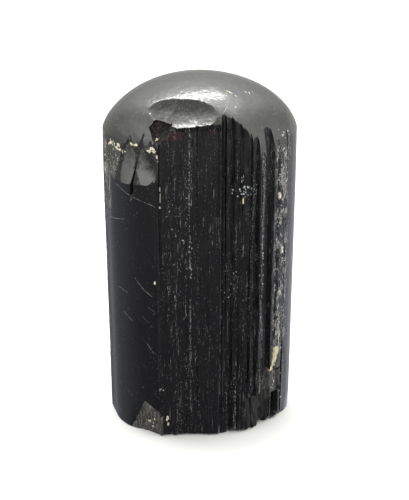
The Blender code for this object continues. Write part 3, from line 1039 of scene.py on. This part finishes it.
def polished_schorl():
    material, tree, place = new_material("polished_schorl", SCHORL_IOR)
    clouds = place.noise(0.14, 0.14, 2.0, 0.5, 13.0)
    waves = place.noise(0.32, 0.32, 2.0, 0.5, 27.0)
    fog = place.noise(0.9, 0.9, 3.0, 0.6, 43.0)
    small = place.noise(3.0, 3.0, 1.0, 0.5, 71.0)
    pits = small.between(0.70, 0.76)
    hairs = place.hairs(28, 3.2, 0.09, 7.0).between(0.70, 0.75).most(
        place.hairs(-40, 3.0, 0.11, 15.0).between(0.71, 0.76)
    )
    hairs = hairs * place.noise(0.12, 0.12, 1.0).between(0.46, 0.56)
    specks = place.noise(1.9, 1.9, 1.0, 0.5, 91.0).between(0.76, 0.80)
    hammered = place.bearing.window(-46, 36, 6.0) * place.height.window(90.0, 97.5, 1.0)
    ragged = place.noise(0.9, 0.6, 3.0, 0.6, 5.0) - 0.5
    unreached = unpolished_share(place, ragged)
    speckled = place.bearing.window(-84, -58, 3.0) * place.height.window(66.0, 82.5, 2.0)
    speckled = speckled.most(unreached * 0.8)
    mica = (place.noise(3.4, 1.9, 2.0, 0.6, 47.0) + speckled * 0.12).between(0.70, 0.79)
    colour = (fog.between(0.3, 0.8) * 0.6).mixed(SATIN_BLACK, POLISH_FOG)
    colour = (specks.most(hairs * 0.45)).mixed(colour, POLISH_SPECK)
    colour = mica.mixed(colour, POLISH_MICA)
    crack = place.crack(CRACK_SHADE_HALF_WIDTH)
    crack = crack * place.bearing.window(-60, -30, 1.0)
    colour = crack.mixed(colour, CRACK_BLACK)
    plug(tree, "Base Color", colour)
    rough = 0.12 + (clouds - 0.5) * 0.12 + (fog - 0.5) * (0.14 + hammered * 0.10)
    plug(tree, "Roughness", rough + pits * 0.2 + hairs * 0.25 + mica * 0.3)
    uneven = clouds * 0.5 + waves * 0.22 + fog * (0.09 + hammered * 0.09) - pits * 0.10 - hairs * 0.05
    plug(tree, "Normal", bumped(uneven - crack.most(unreached) * 0.6 + mica * 0.2, 0.45))
    scuffed = place.patch(*SCUFF, ragged, 2.4) * fog.between(0.30, 0.62) * SCUFF_SHARE
    mix_in_dull(tree, unreached.most(crack).most(scuffed) * (1 - mica * 0.8), DULL_BLACK)
    return material


def unpolished_share(place, ragged):
    """Where the natural left face still shows in the polish: below its edge, except on the two lobes."""
    stops = [(bearing, height / POLISH_EDGE_SPAN) for bearing, height in POLISH_EDGE]
    edge = place.around(stops) * POLISH_EDGE_SPAN + POLISH_EDGE_BASE
    polished = (place.height - edge + ragged * 3.0).between(-0.3, 0.3)
    for lobe in POLISHED_LOBES:
        polished = polished.most(place.patch(*lobe, ragged, 1.6))
    return 1 - polished


def mix_in_dull(tree, share, colour):
    """Mixes a dull surface into a material's glossy one."""
    glossy = Wire(tree, tree.nodes["Principled BSDF"].outputs[0])
    inputs = {"Base Color": colour, "Roughness": DULL_ROUGHNESS, "IOR": SCHORL_IOR}
    inputs["Specular IOR Level"] = DULL_SPECULAR
    dull = Wire.node(tree, "ShaderNodeBsdfPrincipled", {"name": "Dull"}, inputs)
    both = Wire.node(tree, "ShaderNodeMixShader", {}, {0: share, 1: glossy, 2: dull})
    tree.links.new(both.socket, tree.nodes["Material Output"].inputs["Surface"])


def pitted_schorl():
    material, tree, place = new_material("pitted_schorl", SCHORL_IOR)
    tree.nodes["Principled BSDF"].inputs["Specular IOR Level"].default_value = PIT_SPECULAR
    rough = place.noise(1.8, 1.4, 3.0, 0.65, 9.0)
    grains = place.noise(3.4, 3.0, 1.0, 0.5, 21.0).between(0.66, 0.72)
    colour = rough.between(0.45, 0.75).mixed(PIT_BLACK, PIT_BROWN)
    plug(tree, "Base Color", grains.mixed(colour, PIT_GRAIN))
    plug(tree, "Roughness", 0.34 + rough * 0.2)
    plug(tree, "Normal", bumped(rough, 0.9))
    return material


def grain_finish(name, light, dark):
    """Mica or feldspar: between two colours, with a fine uneven surface."""
    material, tree, place = new_material(name, MICA_IOR)
    blotches = place.noise(3.0, 2.2, 3.0, 0.6, 51.0)
    plug(tree, "Base Color", blotches.between(0.35, 0.65).mixed((*dark, 1), (*light, 1)))
    plug(tree, "Roughness", 0.45 + blotches * 0.2)
    plug(tree, "Normal", bumped(blotches, 0.12))
    return material


def pale_floor():
    material = bpy.data.materials.new("pale_floor")
    material.use_nodes = True
    shader = material.node_tree.nodes["Principled BSDF"]
    shader.inputs["Base Color"].default_value = FLOOR_GREY
    shader.inputs["Roughness"].default_value = FLOOR_ROUGHNESS
    shader.inputs["Specular IOR Level"].default_value = 0.0
    return material


# ---------------------------------------------------------------------------------------------------------
# Stage, light and camera
# ---------------------------------------------------------------------------------------------------------

CAMERA_ELEVATION = 20.0
CAMERA_DISTANCE = 0.380
CAMERA_AIM = Vector((0.00129, -0.00384, 0.049))
LENS_MM = 97.85
SENSOR_MM = 36.0
FLOOR_SIZE = 40.0

# The sky's brightness by elevation in degrees, in front of the stone and behind it. It is brighter at
# the sides, above a level just below the horizon.
SKY_FRONT = [
    (-90, 0.11), (-25, 0.12), (-15, 0.17), (-7, 0.7), (0, 2.0), (12, 2.2), (28, 1.4), (45, 0.8), (72, 0.8),
    (84, 1.4), (90, 3.0),
]
SKY_BACK_LEFT = [
    (-90, 0.20), (-25, 0.29), (-12, 0.38), (0, 0.55), (15, 0.72), (30, 1.3), (45, 2.5), (60, 5.8),
    (76, 7.0), (90, 3.0),
]
SKY_BACK_RIGHT = [
    (-90, 0.50), (-25, 0.85), (-12, 0.85), (0, 0.80), (15, 0.76), (30, 1.3), (45, 2.5), (60, 5.8),
    (76, 7.0), (90, 3.0),
]
SKY_FULL = 7.0
SKY_SIDE_LIFT = 0.45

# Where the skies meet, as parts of a level or an upright line: left and right, front and back, how far out
# and how high the brighter sides start, and how high the low tint ends.
SKY_LEFT_TO_RIGHT = (-0.3, 0.3)
SKY_FRONT_TO_BACK = (-0.45, 0.45)
SKY_SIDE_START = (0.3, 0.85)
SKY_SIDE_LEVEL = (-0.26, -0.10)
SKY_TINT_LEVEL = (-0.35, -0.12)
SKY_LOW_TINT = (0.95, 0.975, 1.06, 1)
SKY_HIGH_TINT = (1.0, 1.004, 0.972, 1)

# The soft boxes: name, place, roll in degrees, size and radiance. Both face the dome.
SOFT_BOX_AIM = (0, 0, 0.09)
SOFT_BOXES = [
    ("soft_box_back", (-0.09, 0.21, 0.62), -12, (0.52, 0.048), 18.0),
    ("soft_box_top", (-0.04, 0.075, 0.62), 0, (0.13, 0.13), 14.0),
]


def build_camera():
    rise = math.radians(CAMERA_ELEVATION)
    deselect()
    bpy.ops.object.camera_add(
        location=CAMERA_AIM + Vector((0, -math.cos(rise), math.sin(rise))) * CAMERA_DISTANCE,
        rotation=(math.radians(90) - rise, 0, 0),
    )
    camera = bpy.context.active_object
    camera.data.lens = LENS_MM
    camera.data.sensor_width = SENSOR_MM
    camera.data.clip_start = 0.01
    bpy.context.scene.camera = camera


def build_floor():
    deselect()
    bpy.ops.mesh.primitive_plane_add(size=FLOOR_SIZE)
    floor = name_piece("floor")
    floor.data.materials.append(pale_floor())
    floor.visible_glossy = False


def build_sky():
    world = bpy.data.worlds.new("soft_sky")
    bpy.context.scene.world = world
    world.use_nodes = True
    tree = world.node_tree
    way = Wire.node(tree, "ShaderNodeTexCoord", {}, {}, output=0)
    parts = Wire.node(tree, "ShaderNodeSeparateXYZ", {}, {0: way})
    elevation = (parts.other(2).math("ARCSINE") * DEGREES + 90) / 180
    skies = []
    for sky in (SKY_FRONT, SKY_BACK_LEFT, SKY_BACK_RIGHT):
        stops = [((angle + 90) / 180, light / SKY_FULL) for angle, light in sky]
        skies.append(Wire.node(tree, "ShaderNodeValToRGB", {"stops": stops}, {0: elevation}))
    front, back_left, back_right = skies
    up = parts.other(2)
    back = parts.between(*SKY_LEFT_TO_RIGHT).mixed(back_left, back_right)
    light = parts.other(1).between(*SKY_FRONT_TO_BACK).mixed(front, back).vector_math("SCALE")
    at_side = parts.math("ABSOLUTE").between(*SKY_SIDE_START) * up.between(*SKY_SIDE_LEVEL)
    tree.links.new((at_side * SKY_SIDE_LIFT + 1).socket, light.socket.node.inputs["Scale"])
    tint = up.between(*SKY_TINT_LEVEL).mixed(SKY_LOW_TINT, SKY_HIGH_TINT)
    light = light.vector_math("MULTIPLY", tint)
    background = tree.nodes["Background"]
    tree.links.new(light.socket, background.inputs["Color"])
    background.inputs["Strength"].default_value = SKY_FULL


def add_soft_box(name, location, roll, size, radiance):
    """A rectangular light of an even brightness, turned to face the dome and rolled by some degrees."""
    deselect()
    bpy.ops.object.light_add(type="AREA", location=location)
    box = bpy.context.active_object
    box.name = name
    facing = (Vector(SOFT_BOX_AIM) - Vector(location)).to_track_quat("-Z", "Y").to_matrix()
    box.rotation_euler = (facing @ Matrix.Rotation(math.radians(roll), 3, "Z")).to_euler()
    box.data.shape = "RECTANGLE"
    box.data.size = size[0]
    box.data.size_y = size[1]
    box.data.energy = radiance * math.pi * size[0] * size[1]


# ---------------------------------------------------------------------------------------------------------
# The whole
# ---------------------------------------------------------------------------------------------------------


def build_crystal():
    polished = polished_schorl()
    crystal = build_column(natural_schorl())
    cut(crystal, build_dome(polished), "INTERSECT")
    for number, scoop in enumerate(SCOOPS, 1):
        cut(crystal, build_scoop(number, scoop, polished), "DIFFERENCE")
    pitted = pitted_schorl()
    for number, pit in enumerate(PITS, 1):
        cut(crystal, build_pit(number, pit, pitted), "DIFFERENCE")
    mark_material_edges(crystal)
    strew_grains(crystal, {name: grain_finish(name, *colours) for name, colours in GRAIN_FINISHES.items()})
    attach(crystal, "root")
    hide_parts(CRYSTAL_NODE)


bpy.context.scene.view_settings.view_transform = "Standard"
build_camera()
build_crystal()
build_floor()
build_sky()
for soft_box in SOFT_BOXES:
    add_soft_box(*soft_box)
